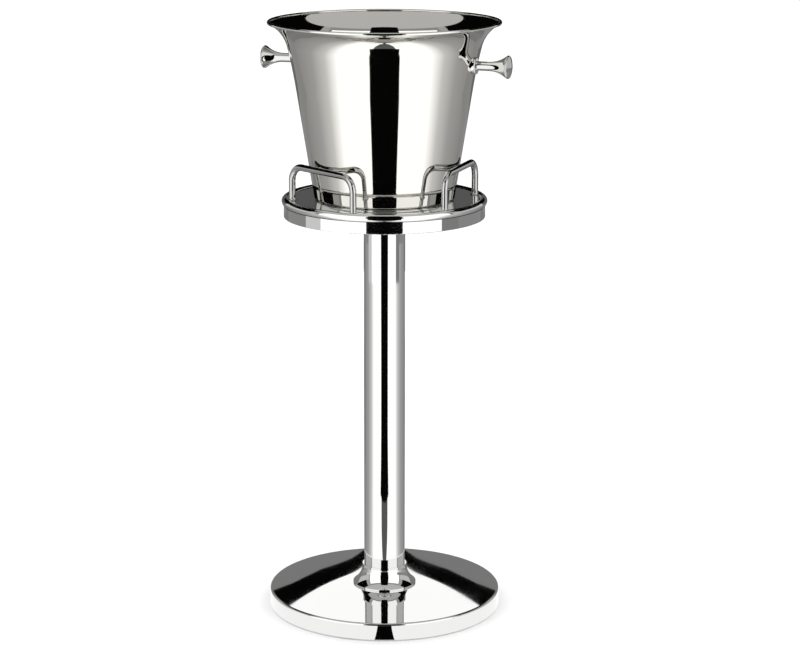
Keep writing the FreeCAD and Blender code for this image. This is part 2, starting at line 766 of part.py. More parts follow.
def make_stand():
    rim_ring = make_tray_rim_ring()
    pieces = [
        make_rubber_feet(),
        make_cover_screws(),
        make_base_cover(),
        make_base_weight(),
        make_base_shell(),
        make_base_collar(),
        make_column_foot_plug(),
        make_column_tube(),
        make_tie_rod(),
        make_tie_rod_washer(),
        make_tie_rod_spring_washer(),
        make_tie_rod_nut(),
        make_tray_hub(),
        make_tray_plate(),
        rim_ring,
        make_tray_skirt(),
    ]
    loop_names = ("guard_loop_right", "guard_loop_rear", "guard_loop_left")
    for index, name in enumerate(loop_names):
        pieces.append(make_guard_loop(name, index * FULL_TURN / value_of("loop_count"), rim_ring))
    return pieces


def make_bucket():
    outside = make_wall_form("wall_outside", "0 - shape_gap")
    inside = make_wall_form("wall_inside", "bucket_wall + shape_gap")
    pieces = [make_bucket_shell()]
    screws = []
    seals = []
    for side, is_left in (("right", False), ("left", True)):
        pieces.append(make_knob(f"knob_{side}", is_left))
        pieces.append(make_knob_collar(f"knob_collar_{side}", is_left, outside))
        screws.append(make_knob_screw(f"knob_screw_{side}", is_left))
        seals.append(make_knob_seal(f"knob_seal_{side}", is_left, inside))
    pieces.append(both_sides("knob_screws", *screws))
    pieces.append(both_sides("knob_seals", *seals))
    return pieces


def check_document(pieces):
    """Stops when a feature failed or a piece's shape is missing or not valid."""
    for item in doc.Objects:
        if "Invalid" in item.State or "Error" in item.State:
            raise RuntimeError(f"{item.Name} failed: {item.State}")
    for piece in pieces:
        if piece.Shape.isNull() or not piece.Shape.isValid():
            raise RuntimeError(f"{piece.Label} has no valid shape")


def write_pieces(pieces):
    os.makedirs("parts", exist_ok=True)
    for piece in pieces:
        piece.Shape.exportStep(f"parts/{piece.Label}.step")
        print(piece.Label, len(piece.Shape.Solids), round(piece.Shape.Volume))


all_pieces = make_stand() + make_bucket()
doc.recompute()
check_document(all_pieces)
write_pieces(all_pieces)
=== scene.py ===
"""Looks of the champagne bucket stand: materials, detailed pieces, studio and camera."""

import json
import math

import bpy
from mathutils import Matrix, Vector


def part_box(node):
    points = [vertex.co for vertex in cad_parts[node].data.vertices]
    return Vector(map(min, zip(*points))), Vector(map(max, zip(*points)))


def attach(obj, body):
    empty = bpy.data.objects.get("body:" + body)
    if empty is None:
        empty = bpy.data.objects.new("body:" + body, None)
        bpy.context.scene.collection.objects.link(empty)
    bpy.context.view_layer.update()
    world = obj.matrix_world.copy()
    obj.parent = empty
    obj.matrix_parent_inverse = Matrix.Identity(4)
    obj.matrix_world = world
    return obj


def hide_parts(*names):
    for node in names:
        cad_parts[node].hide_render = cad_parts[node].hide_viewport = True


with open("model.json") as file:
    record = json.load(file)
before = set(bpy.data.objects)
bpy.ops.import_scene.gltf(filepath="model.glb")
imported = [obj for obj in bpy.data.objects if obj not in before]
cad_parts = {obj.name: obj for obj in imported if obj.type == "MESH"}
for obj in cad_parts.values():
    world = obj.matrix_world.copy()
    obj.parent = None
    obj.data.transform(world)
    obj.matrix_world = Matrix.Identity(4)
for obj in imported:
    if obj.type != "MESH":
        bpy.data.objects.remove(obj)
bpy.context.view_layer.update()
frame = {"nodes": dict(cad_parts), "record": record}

# Lengths are in metres in the stand's own frame: Z up, the origin on the floor below the column.

MM = 0.001

# Camera -------------------------------------------------------------------------------------------

VIEW_AZIMUTH = math.radians(20)
CAMERA_DISTANCE = 2.772
CAMERA_HEIGHT = 1.006
CAMERA_PITCH = math.radians(13.27)
LENS_MM = 105.9
SENSOR_MM = 36.0
SHIFT_X = 0.0194


def make_camera():
    """Camera at the height of a standing viewer's chest, looking a little down at the stand."""
    data = bpy.data.cameras.new("camera")
    data.lens = LENS_MM
    data.sensor_width = SENSOR_MM
    data.shift_x = SHIFT_X
    camera = bpy.data.objects.new("camera", data)
    camera.location = (
        CAMERA_DISTANCE * math.sin(VIEW_AZIMUTH),
        -CAMERA_DISTANCE * math.cos(VIEW_AZIMUTH),
        CAMERA_HEIGHT,
    )
    camera.rotation_euler = (math.pi / 2 - CAMERA_PITCH, 0, VIEW_AZIMUTH)
    bpy.context.scene.collection.objects.link(camera)
    bpy.context.scene.camera = camera


# Materials ----------------------------------------------------------------------------------------


class Paint:
    """A node material with a plain mean colour and roughness, and short calls that vary them."""

    def __init__(self, name, colour, metallic, roughness):
        self.material = bpy.data.materials.new(name)
        self.material.use_nodes = True
        self.nodes = self.material.node_tree.nodes
        self.links = self.material.node_tree.links
        self.shader = self.nodes["Principled BSDF"]
        self.shader.inputs["Base Color"].default_value = (*colour, 1)
        self.shader.inputs["Metallic"].default_value = metallic
        self.shader.inputs["Roughness"].default_value = roughness
        self.place = self.nodes.new("ShaderNodeTexCoord").outputs["Object"]

    def noise(self, scale, detail, vector=None):
        """Noise over the piece's own coordinates, or over another vector."""
        texture = self.nodes.new("ShaderNodeTexNoise")
        texture.inputs["Scale"].default_value = scale
        texture.inputs["Detail"].default_value = detail
        self.links.new(vector or self.place, texture.inputs["Vector"])
        return texture.outputs["Fac"]

    def round_z(self):
        """Coordinates that stay the same round the piece's Z axis: distance from the axis, and height."""
        split = self.nodes.new("ShaderNodeSeparateXYZ")
        self.links.new(self.place, split.inputs["Vector"])
        flat = self.nodes.new("ShaderNodeCombineXYZ")
        self.links.new(split.outputs["X"], flat.inputs["X"])
        self.links.new(split.outputs["Y"], flat.inputs["Y"])
        length = self.nodes.new("ShaderNodeVectorMath")
        length.operation = "LENGTH"
        self.links.new(flat.outputs["Vector"], length.inputs[0])
        both = self.nodes.new("ShaderNodeCombineXYZ")
        self.links.new(length.outputs["Value"], both.inputs["X"])
        self.links.new(split.outputs["Z"], both.inputs["Z"])
        return both.outputs["Vector"]

    def spread(self, value, low, high, from_low=0.0, from_high=1.0):
        """The value moved from its own range to low..high, and kept inside it."""
        change = self.nodes.new("ShaderNodeMapRange")
        change.inputs["From Min"].default_value = from_low
        change.inputs["From Max"].default_value = from_high
        change.inputs["To Min"].default_value = low
        change.inputs["To Max"].default_value = high
        self.links.new(value, change.inputs["Value"])
        return change.outputs["Result"]

    def add(self, first, second):
        """The sum of two values."""
        total = self.nodes.new("ShaderNodeMath")
        total.operation = "ADD"
        self.links.new(first, total.inputs[0])
        self.links.new(second, total.inputs[1])
        return total.outputs["Value"]

    def blend_colours(self, factor, first, second):
        """Lets the base colour run from the first to the second with the factor."""
        mix = self.nodes.new("ShaderNodeMix")
        mix.data_type = "RGBA"
        mix.inputs["A"].default_value = (*first, 1)
        mix.inputs["B"].default_value = (*second, 1)
        self.links.new(factor, mix.inputs["Factor"])
        self.links.new(mix.outputs["Result"], self.shader.inputs["Base Color"])

    def set_roughness(self, value):
        self.links.new(value, self.shader.inputs["Roughness"])

    def set_bump(self, height, strength, distance):
        """Gives the surface relief from a height value; distance is the depth where it is 1."""
        bump = self.nodes.new("ShaderNodeBump")
        bump.inputs["Strength"].default_value = strength
        bump.inputs["Distance"].default_value = distance
        self.links.new(height, bump.inputs["Height"])
        self.links.new(bump.outputs["Normal"], self.shader.inputs["Normal"])


def mirror_steel(name, lines, painted_light_tone=(1, 1, 1)):
    """Mirror-polished stainless steel with faint smudges; lines adds fine polishing lines round the axis. A
    tone below white paints shade into a darker copy, and a warm tone paints a reflection's tint into a copy.
    """
    light = [level * share for level, share in zip((0.80, 0.80, 0.785), painted_light_tone)]
    dark = [level * share for level, share in zip((0.77, 0.775, 0.77), painted_light_tone)]
    paint = Paint(name, light, 1.0, 0.04)
    smudges = paint.spread(paint.noise(14, 4), 0.022, 0.05, 0.35, 0.75)
    if lines:
        marks = paint.spread(paint.noise(900, 2, paint.round_z()), 0.0, 0.014, 0.4, 0.7)
    else:
        marks = paint.spread(paint.noise(220, 2), 0.0, 0.012, 0.4, 0.7)
    paint.set_roughness(paint.add(smudges, marks))
    paint.blend_colours(paint.noise(5, 2), light, dark)
    return paint.material


def weld_steel():
    """Dressed weld metal: duller than the polished steel, with fine ripples."""
    paint = Paint("weld_steel", (0.66, 0.655, 0.64), 1.0, 0.2)
    paint.set_roughness(paint.spread(paint.noise(300, 3), 0.1, 0.26))
    paint.set_bump(paint.noise(700, 3), 0.25, 0.3 * MM)
    return paint.material


def zinc_steel():
    """Zinc-plated steel of the fastenings and the base's cover: mottled grey with a slight blue cast."""
    paint = Paint("zinc_steel", (0.55, 0.56, 0.58), 1.0, 0.35)
    paint.blend_colours(paint.noise(90, 5), (0.47, 0.48, 0.5), (0.64, 0.65, 0.66))
    paint.set_roughness(paint.spread(paint.noise(40, 4), 0.26, 0.46))
    paint.set_bump(paint.noise(1200, 2), 0.12, 0.1 * MM)
    return paint.material


def cast_iron():
    """Rough sand casting under thin black paint."""
    paint = Paint("cast_iron", (0.07, 0.07, 0.072), 0.6, 0.7)
    grain = paint.noise(420, 6)
    paint.blend_colours(paint.noise(35, 4), (0.035, 0.034, 0.034), (0.1, 0.095, 0.09))
    paint.set_roughness(paint.spread(grain, 0.55, 0.85))
    paint.set_bump(grain, 0.6, 0.5 * MM)
    return paint.material


def black_rubber():
    """Moulded rubber, a little dusty."""
    paint = Paint("black_rubber", (0.022, 0.022, 0.023), 0.0, 0.75)
    dust = paint.noise(60, 5)
    paint.blend_colours(dust, (0.014, 0.014, 0.015), (0.045, 0.044, 0.042))
    paint.set_roughness(paint.spread(dust, 0.62, 0.88))
    paint.set_bump(paint.noise(900, 3), 0.3, 0.12 * MM)
    return paint.material


def white_nylon():
    """Turned nylon with fine lines round the axis."""
    paint = Paint("white_nylon", (0.83, 0.82, 0.77), 0.0, 0.5)
    turning = paint.noise(700, 2, paint.round_z())
    paint.blend_colours(paint.noise(30, 3), (0.80, 0.79, 0.73), (0.86, 0.85, 0.81))
    paint.set_roughness(paint.spread(turning, 0.4, 0.6))
    paint.set_bump(turning, 0.15, 0.1 * MM)
    return paint.material


# Outlines -----------------------------------------------------------------------------------------
#
# An outline is a list of short straight spans in (radius, height) or (along, height), each with the
# surface's direction at its two ends: (start, start normal, end, end normal). It is followed with the
# solid on its left.

ARC_STEP = math.radians(5)
TINY = 1e-7


def arc_spans(centre, start, end, turns_left=None):
    """Spans along an arc round a centre, by the shorter way unless turns_left says which."""
    from_centre = start - centre
    to_end = end - centre
    begin = math.atan2(from_centre.y, from_centre.x)
    sweep = (math.atan2(to_end.y, to_end.x) - begin + math.pi) % (2 * math.pi) - math.pi
    if turns_left is not None and (sweep > 0) != turns_left:
        sweep += 2 * math.pi if turns_left else -2 * math.pi
    steps = max(6, math.ceil(abs(sweep) / ARC_STEP))
    side = 1 if sweep > 0 else -1
    places = []
    for index in range(steps + 1):
        angle = begin + sweep * index / steps
        out = Vector((math.cos(angle), math.sin(angle)))
        places.append((centre + out * from_centre.length, out * side))
    return [(*first, *second) for first, second in zip(places, places[1:])]


def straight_span(start, end):
    """A list with the one span straight from start to end."""
    run = (end - start).normalized()
    normal = Vector((run.y, -run.x))
    return [(start, normal, end, normal)]


def outline(corners, closed=True):
    """Spans through corners, each (radius, height) or (radius, height, rounding)."""
    points = [Vector(corner[:2]) for corner in corners]
    roundings = [corner[2] if len(corner) > 2 else 0 for corner in corners]
    turns = []
    for index, (point, rounding) in enumerate(zip(points, roundings)):
        if not rounding:
            turns.append((point, point, None))
            continue
        back = (points[index - 1] - point).normalized()
        ahead = (points[(index + 1) % len(points)] - point).normalized()
        half = back.angle(ahead) / 2
        reach = rounding / math.tan(half)
        centre = point + (back + ahead).normalized() * (rounding / math.sin(half))
        turns.append((point + back * reach, point + ahead * reach, centre))
    spans = []
    for index, (entry, leave, centre) in enumerate(turns):
        if centre is not None:
            spans += arc_spans(centre, entry, leave)
        if not closed and index == len(turns) - 1:
            continue
        following = turns[(index + 1) % len(turns)][0]
        if (following - leave).length > TINY:
            spans += straight_span(leave, following)
    return spans


def circles_meet(first, first_radius, second, second_radius, left):
    """Where two circles meet, on the left or the right of the way from first to second."""
    gap = second - first
    along = (gap.length_squared + first_radius**2 - second_radius**2) / (2 * gap.length)
    across = math.sqrt(first_radius**2 - along**2)
    way = gap.normalized()
    side = Vector((-way.y, way.x)) * (across if left else -across)
    return first + way * along + side


# Meshes -------------------------------------------------------------------------------------------

ROUND_SEGMENTS = 256
KNOB_SEGMENTS = 96
SMALL_SEGMENTS = 64
ROD_SEGMENTS = 48
SHARP_ANGLE = math.radians(35)


def shaded_object(name, vertices, faces, loop_normals, material):
    """A mesh object shaded by the true surface directions, given for every corner of every face."""
    mesh = bpy.data.meshes.new(name)
    mesh.from_pydata(vertices, [], faces)
    mesh.polygons.foreach_set("use_smooth", [True] * len(mesh.polygons))
    mesh.materials.append(material)
    mesh.update()
    mesh.normals_split_custom_set(loop_normals)
    piece = bpy.data.objects.new(name, mesh)
    bpy.context.scene.collection.objects.link(piece)
    return piece


class Shape:
    """Vertices, faces and normals being gathered for one piece."""

    def __init__(self):
        self.vertices = []
        self.faces = []
        self.normals = []

    def turn(self, spans, segments, place=None):
        """Adds what the spans sweep out round Z, moved by a matrix; a whole outline gives a closed solid."""
        place = place or Matrix.Identity(4)
        turned = place.to_3x3()
        angles = [2 * math.pi * step / segments for step in range(segments)]
        ways = [(math.cos(angle), math.sin(angle)) for angle in angles]
        rings = {}

        def ring(point):
            key = (round(point.x, 7), round(point.y, 7))
            if key not in rings:
                first = len(self.vertices)
                if key[0] == 0:
                    self.vertices.append(place @ Vector((0, 0, point.y)))
                    rings[key] = [first] * segments
                else:
                    for across, along in ways:
                        self.vertices.append(place @ Vector((point.x * across, point.x * along, point.y)))
                    rings[key] = list(range(first, first + segments))
            return rings[key]

        for start, start_normal, end, end_normal in spans:
            low, high = ring(start), ring(end)
            for step in range(segments):
                beside = (step + 1) % segments
                corners = [
                    (low[step], step, start_normal),
                    (low[beside], beside, start_normal),
                    (high[beside], beside, end_normal),
                    (high[step], step, end_normal),
                ]
                kept = [corner for index, corner in enumerate(corners) if corner[0] != corners[index - 1][0]]
                if len(kept) < 3:
                    continue
                self.faces.append([corner[0] for corner in kept])
                for _, turn_step, normal in kept:
                    across, along = ways[turn_step]
                    self.normals.append(turned @ Vector((normal.x * across, normal.x * along, normal.y)))

    def sweep(self, spans, radius, place, segments):
        """Adds a round rod along spans; place takes (along, 0, height) to where they lie."""
        turned = place.to_3x3()
        stations = [(spans[0][0], spans[0][1])] + [(span[2], span[3]) for span in spans]
        rings = []
        for point, normal in stations:
            first = len(self.vertices)
            ring = []
            for step in range(segments):
                angle = 2 * math.pi * step / segments
                out = Vector((normal.x * math.cos(angle), math.sin(angle), normal.y * math.cos(angle)))
                self.vertices.append(place @ (Vector((point.x, 0, point.y)) + out * radius))
                ring.append((first + step, turned @ out))
            rings.append(ring)
        for ring, following in zip(rings, rings[1:]):
            for step in range(segments):
                beside = (step + 1) % segments
                corners = [ring[step], ring[beside], following[beside], following[step]]
                self.faces.append([corner[0] for corner in corners])
                self.normals += [corner[1] for corner in corners]
        run = {0: spans[0][2] - spans[0][0], -1: spans[-1][0] - spans[-1][2]}
        for end, inward in run.items():
            outward = turned @ Vector((-inward.x, 0, -inward.y)).normalized()
            ring = [corner[0] for corner in rings[end]]
            self.faces.append(ring[::-1] if end == 0 else ring)
            self.normals += [outward] * len(ring)

    def object(self, name, material):
        return shaded_object(name, self.vertices, self.faces, self.normals, material)


def placed(piece, body, slot, *nodes):
    """Puts a finished piece on its body and hides the CAD nodes that it stands for; the slot is not used."""
    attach(piece, body)
    if nodes:
        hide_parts(*nodes)


def turned_piece(name, body, slot, material, spans, segments=ROUND_SEGMENTS, place=None):
    """A turned piece that stands for the CAD node of the same name."""
    shape = Shape()
    shape.turn(spans, segments, place)
    placed(shape.object(f"{name}_look", material), body, slot, name)


def drilled(piece, drills):
    """The piece with solid drills cut from it, its shading sharp at edges."""
    for drill in drills:
        modifier = piece.modifiers.new("drill", "BOOLEAN")
        modifier.operation = "DIFFERENCE"
        modifier.solver = "EXACT"
        modifier.object = drill
    bpy.context.view_layer.update()
    evaluated = piece.evaluated_get(bpy.context.evaluated_depsgraph_get())
    finished = bpy.data.meshes.new_from_object(evaluated)
    piece.modifiers.clear()
    piece.data = finished
    for drill in drills:
        bpy.data.objects.remove(drill)
    finished.polygons.foreach_set("use_smooth", [True] * len(finished.polygons))
    finished.set_sharp_from_angle(angle=SHARP_ANGLE)
    return piece


def prism_object(sides, radius, low, high, place):
    """A closed upright prism, moved by a matrix; it is only used to cut."""
    corners = []
    for height in (low, high):
        for side in range(sides):
            angle = 2 * math.pi * side / sides
            corners.append(place @ Vector((radius * math.cos(angle), radius * math.sin(angle), height)))
    faces = [[side, (side + 1) % sides, sides + (side + 1) % sides, sides + side] for side in range(sides)]
    faces += [list(range(sides))[::-1], list(range(sides, 2 * sides))]
    mesh = bpy.data.meshes.new("prism")
    mesh.from_pydata(corners, [], faces)
    prism = bpy.data.objects.new("prism", mesh)
    bpy.context.scene.collection.objects.link(prism)
    return prism


SOCKET_MARGIN = 1 * MM  # how far a socket's cutter stands out of the screw's head


def make_screws(
    node, body, material, places, heights, head, head_rounding, shank, tip_rounding, socket, socket_depth
):
    """Button-head screws with a six-sided socket; heights are the head's end, the head's seat and the tip."""
    head_end, seat, tip = heights
    spans = outline(
        [
            (0, head_end),
            (head, head_end, head_rounding),
            (head, seat),
            (shank, seat),
            (shank, tip, tip_rounding),
            (0, tip),
        ],
        closed=False,
    )
    shape = Shape()
    cutters = []
    for place in places:
        shape.turn(spans, SMALL_SEGMENTS, place)
        cutters.append(prism_object(6, socket, head_end - SOCKET_MARGIN, head_end + socket_depth, place))
    screws = drilled(shape.object(f"{node}_look", material), cutters)
    placed(screws, body, "plain_steel", node)


# Bucket -------------------------------------------------------------------------------------------

SEAT_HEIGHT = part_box("bucket_shell")[0][2]
BUCKET_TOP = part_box("bucket_shell")[1][2]
BUCKET_WALL = 1.2 * MM
BUCKET_BASE_RADIUS = 83.8 * MM
BUCKET_BASE_ROUNDING = 3 * MM
RAISED_BOTTOM = 2.5 * MM
RAISED_RADIUS = 52 * MM
RAISED_ROUNDING = 6 * MM
RAISED_FOOT_RADIUS = 60 * MM
RAISED_FOOT_ROUNDING = 4 * MM
WAIST_HEIGHT = 640 * MM
WAIST_LEAN = math.radians(9.07)
WAIST_CURVE = 593.3 * MM
THROAT_LEAN = math.radians(14)
FLARE_CURVE = 41.4 * MM
RIM_LEAN = math.radians(62.7)
ROLL_RADIUS = 1.9 * MM
ROLL_OUT = 0.3 * MM


def square_to(lean):
    """Direction square to a wall with that lean, away from the bucket."""
    return Vector((math.cos(lean), -math.sin(lean)))


def bucket_outline():
    """Raised bottom, rounded foot, leaning wall, flared lip and rolled edge, then back down the inside."""
    taper = (WAIST_HEIGHT - SEAT_HEIGHT) * math.tan(WAIST_LEAN)
    waist = Vector((BUCKET_BASE_RADIUS + taper, WAIST_HEIGHT))
    waist_centre = waist + square_to(WAIST_LEAN) * WAIST_CURVE
    throat = waist_centre - square_to(THROAT_LEAN) * WAIST_CURVE
    flare_centre = throat + square_to(THROAT_LEAN) * FLARE_CURVE
    rim = flare_centre - square_to(RIM_LEAN) * FLARE_CURVE
    roll_centre = Vector((rim.x + ROLL_OUT, BUCKET_TOP - ROLL_RADIUS))
    roll_start = circles_meet(flare_centre, FLARE_CURVE, roll_centre, ROLL_RADIUS, left=True)
    roll_end = circles_meet(flare_centre, FLARE_CURVE + BUCKET_WALL, roll_centre, ROLL_RADIUS, left=True)
    inner_waist = waist - square_to(WAIST_LEAN) * BUCKET_WALL
    inner_throat = throat - square_to(THROAT_LEAN) * BUCKET_WALL
    raised = SEAT_HEIGHT + RAISED_BOTTOM
    inner_floor = SEAT_HEIGHT + BUCKET_WALL
    spans = outline(
        [
            (0, raised),
            (RAISED_RADIUS, raised, RAISED_ROUNDING),
            (RAISED_FOOT_RADIUS, SEAT_HEIGHT, RAISED_FOOT_ROUNDING),
            (BUCKET_BASE_RADIUS, SEAT_HEIGHT, BUCKET_BASE_ROUNDING),
            waist,
        ],
        closed=False,
    )
    spans += arc_spans(waist_centre, waist, throat)
    spans += arc_spans(flare_centre, throat, roll_start)
    spans += arc_spans(roll_centre, roll_start, roll_end, turns_left=True)
    spans += arc_spans(flare_centre, roll_end, inner_throat)
    spans += arc_spans(waist_centre, inner_throat, inner_waist)
    spans += outline(
        [
            inner_waist,
            (BUCKET_BASE_RADIUS - BUCKET_WALL, inner_floor, BUCKET_BASE_ROUNDING - BUCKET_WALL),
            (RAISED_FOOT_RADIUS, inner_floor, RAISED_FOOT_ROUNDING),
            (RAISED_RADIUS, raised + BUCKET_WALL, RAISED_ROUNDING),
            (0, raised + BUCKET_WALL),
        ],
        closed=False,
    )
    return spans


# Knobs and their screws ---------------------------------------------------------------------------

KNOB_HEIGHT = 671 * MM


def on_knob_axis(is_left):
    """Lays a piece turned about Z on a knob's axis: its heights become distances from the stand's axis."""
    facing = Matrix.Rotation(math.radians(-90 if is_left else 90), 4, "Y")
    return Matrix.Translation((0, 0, KNOB_HEIGHT)) @ facing


def curved_span(start, end, radius, turns_left):
    """Spans along an arc of a given radius between two places."""
    centre = circles_meet(start, radius, end, radius, left=turns_left)
    return arc_spans(centre, start, end)


def knob_outline():
    """Neck, hollow flare, rounded edge and domed end, with a threaded hole from the inner end."""
    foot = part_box("knob_right")[0][0]
    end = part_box("knob_right")[1][0]
    neck = 5.5 * MM
    bore = 2.55 * MM
    bore_end = 127 * MM
    flare_start = Vector((neck, 129 * MM))
    flare_end = Vector((13.5 * MM, 151.5 * MM))
    shoulder = Vector((12 * MM, 154 * MM))
    spans = outline(
        [(0, bore_end), (bore, bore_end), (bore, foot), (neck, foot, 0.3 * MM), flare_start],
        closed=False,
    )
    spans += curved_span(flare_start, flare_end, 36 * MM, turns_left=False)
    spans += curved_span(flare_end, shoulder, 1.7 * MM, turns_left=True)
    spans += curved_span(shoulder, Vector((0, end)), 30 * MM, turns_left=True)
    return spans


def make_knob_screws(material):
    """Screws that hold the knobs, their heads inside the bucket."""
    make_screws(
        "knob_screws", "bucket", material,
        places=[on_knob_axis(is_left) for is_left in (False, True)],
        heights=(103.8 * MM, 107.2 * MM, 125 * MM),
        head=4.8 * MM, head_rounding=2.4 * MM,
        shank=2.5 * MM, tip_rounding=0.5 * MM,
        socket=1.75 * MM, socket_depth=1.9 * MM,
    )


# Base ---------------------------------------------------------------------------------------------

BASE_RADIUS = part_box("base_shell")[1][0]
BASE_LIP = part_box("base_shell")[0][2]
LAND_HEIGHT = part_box("base_shell")[1][2]
LAND_RADIUS = 36 * MM
BASE_EDGE_HEIGHT = 21.8 * MM
BASE_GAUGE = 1.2 * MM


def base_outline():
    """Land in the middle, sloping top, rounded edge and upright wall, a pressed sheet of one thickness."""
    hole = 5.5 * MM
    inner = BASE_RADIUS - BASE_GAUGE
    land_rounding = 20 * MM
    edge_rounding = 2.6 * MM
    lip_rounding = 0.4 * MM
    return outline([
        (hole, LAND_HEIGHT - BASE_GAUGE),
        (LAND_RADIUS, LAND_HEIGHT - BASE_GAUGE, land_rounding),
        (inner, BASE_EDGE_HEIGHT - BASE_GAUGE, edge_rounding - BASE_GAUGE),
        (inner, BASE_LIP, lip_rounding),
        (BASE_RADIUS, BASE_LIP, lip_rounding),
        (BASE_RADIUS, BASE_EDGE_HEIGHT, edge_rounding),
        (LAND_RADIUS, LAND_HEIGHT, land_rounding),
        (hole, LAND_HEIGHT),
    ])


def collar_outline():
    """Collar round the column's foot: upright edge, hollow sweep and narrow neck, hollow below."""
    bore = 25.1 * MM
    bore_end = 33 * MM
    hollow = 36.3 * MM
    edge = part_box("base_collar")[1][0]
    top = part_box("base_collar")[1][2]
    edge_top = Vector((edge, LAND_HEIGHT + 1.8 * MM))
    neck = Vector((27 * MM, top))
    spans = outline(
        [neck, (bore, top), (bore, bore_end), (hollow, LAND_HEIGHT), (edge, LAND_HEIGHT), edge_top],
        closed=False,
    )
    return spans + curved_span(edge_top, neck, 27 * MM, turns_left=False)


def quarter_places(circle, first_turn):
    """Four places on a circle round the stand's axis, the first one first_turn of a quarter turn round."""
    places = []
    for quarter in range(4):
        turn = Matrix.Rotation((quarter + first_turn) * math.pi / 2, 4, "Z")
        places.append(turn @ Matrix.Translation((circle, 0, 0)))
    return places


def make_feet(material):
    """Rubber pads with two grooves round their underside."""
    radius, flat_radius, slope_height = 12 * MM, 11.3 * MM, 0.9 * MM
    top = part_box("rubber_feet")[1][2]
    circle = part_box("rubber_feet")[1][0] - radius
    groove, groove_width, soft = 0.6 * MM, 1.1 * MM, 0.15 * MM
    corners = [(0, 0)]
    for inner in (4 * MM, 7.5 * MM):
        outer = inner + groove_width
        corners += [(inner, 0, soft), (inner, groove, soft), (outer, groove, soft), (outer, 0, soft)]
    corners += [(flat_radius, 0, 0.4 * MM), (radius, slope_height, 0.6 * MM), (radius, top), (0, top)]
    spans = outline(corners, closed=False)
    shape = Shape()
    for place in quarter_places(circle, 0):
        shape.turn(spans, SMALL_SEGMENTS, place)
    placed(shape.object("rubber_feet_look", material), "stand", "black_rubber", "rubber_feet")


def make_cover_screws(material):
    """Screws that hold the base's cover, their heads downwards."""
    make_screws(
        "cover_screws", "stand", material,
        places=quarter_places(100 * MM, 0.5),
        heights=(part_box("cover_screws")[0][2], 3.8 * MM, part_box("cover_screws")[1][2]),
        head=4 * MM, head_rounding=1.3 * MM,
        shank=2 * MM, tip_rounding=0.4 * MM,
        socket=1.45 * MM, socket_depth=1.3 * MM,
    )


# Tray and loops -----------------------------------------------------------------------------------

LOOPS = {"guard_loop_right": 0, "guard_loop_rear": 120, "guard_loop_left": 240}  # azimuth in degrees
LOOP_REACH = 95 * MM
LOOP_HALF_WIDTH = 57 * MM
LOOP_ROD = 4 * MM
LOOP_BEND = 18 * MM


def loop_place(azimuth):
    """Takes (along, 0, height) to the upright plane of the loop at that azimuth, in degrees."""
    across = Matrix(((0, -1, 0, LOOP_REACH), (1, 0, 0, 0), (0, 0, 1, 0), (0, 0, 0, 1)))
    return Matrix.Rotation(math.radians(azimuth), 4, "Z") @ across


def make_loops(steel, weld):
    """Three bent rods, and the welds round their feet."""
    bar_height = 550 * MM
    foot = SEAT_HEIGHT + 0.1 * MM  # just clear of the plate
    spans = outline(
        [
            (-LOOP_HALF_WIDTH, foot),
            (-LOOP_HALF_WIDTH, bar_height, LOOP_BEND),
            (LOOP_HALF_WIDTH, bar_height, LOOP_BEND),
            (LOOP_HALF_WIDTH, foot),
        ],
        closed=False,
    )
    weld_radius, weld_height, weld_curve = 6.2 * MM, 2.2 * MM, 2.6 * MM
    weld_edge = Vector((weld_radius, foot + 0.15 * MM))
    weld_neck = Vector((LOOP_ROD + 0.02 * MM, foot + weld_height))
    weld_inner = LOOP_ROD - 0.3 * MM
    weld_spans = curved_span(weld_edge, weld_neck, weld_curve, turns_left=False)
    weld_spans += outline(
        [weld_neck, (weld_inner, weld_neck.y), (weld_inner, foot), (weld_radius, foot), weld_edge],
        closed=False,
    )
    welds = Shape()
    for name, azimuth in LOOPS.items():
        shape = Shape()
        place = loop_place(azimuth)
        # The rods take the darker copy of the steel, which paints in the shade of their reflections.
        shape.sweep(spans, LOOP_ROD, place, ROD_SEGMENTS)
        placed(shape.object(f"{name}_look", steel), "stand", "polished_steel", name)
        for side in (-LOOP_HALF_WIDTH, LOOP_HALF_WIDTH):
            welds.turn(weld_spans, SMALL_SEGMENTS, place @ Matrix.Translation((side, 0, 0)))
    placed(welds.object("loop_welds", weld), "stand", "polished_steel")


def make_column_weld(weld):
    """Weld between the column's top and the tray's plate."""
    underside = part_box("tray_plate")[0][2]
    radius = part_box("column_tube")[1][0]
    leg = 4 * MM
    outer = Vector((radius + leg, underside - 0.2 * MM))
    lower = Vector((radius + 0.02 * MM, underside - leg))
    inner = radius - 0.3 * MM
    spans = curved_span(lower, outer, 4.2 * MM, turns_left=False)
    spans += outline([outer, (outer.x, underside), (inner, underside), (inner, lower.y), lower], closed=False)
    shape = Shape()
    shape.turn(spans, ROUND_SEGMENTS)
    placed(shape.object("column_weld", weld), "stand", "polished_steel")


# Studio -------------------------------------------------------------------------------------------

CARD_GAP = 0.0003  # height of a level card over the one below it
BLACK = 0.0015  # brightness of a black card
WALL_CARD_STEP = 5  # degrees of a curved card's turn that one flat face spans


def from_view(angle, distance, height):
    """A place, by degrees rightwards from the direction to the camera, distance from the axis, and height."""
    azimuth = VIEW_AZIMUTH + math.radians(angle)
    return Vector((distance * math.sin(azimuth), -distance * math.cos(azimuth), height))


def only_reflected(piece):
    """Makes a piece a studio card, which shows in the steel but neither lights the floor nor is seen."""
    piece.visible_camera = False
    piece.visible_diffuse = False
    piece.visible_shadow = False
    piece.visible_transmission = False


def emitter(name, strength):
    """A material that glows white and has no other surface."""
    material = bpy.data.materials.new(name)
    material.use_nodes = True
    nodes = material.node_tree.nodes
    nodes.clear()
    glow = nodes.new("ShaderNodeEmission")
    glow.inputs["Color"].default_value = (1, 1, 1, 1)
    glow.inputs["Strength"].default_value = strength
    output = nodes.new("ShaderNodeOutputMaterial")
    material.node_tree.links.new(glow.outputs["Emission"], output.inputs["Surface"])
    return material


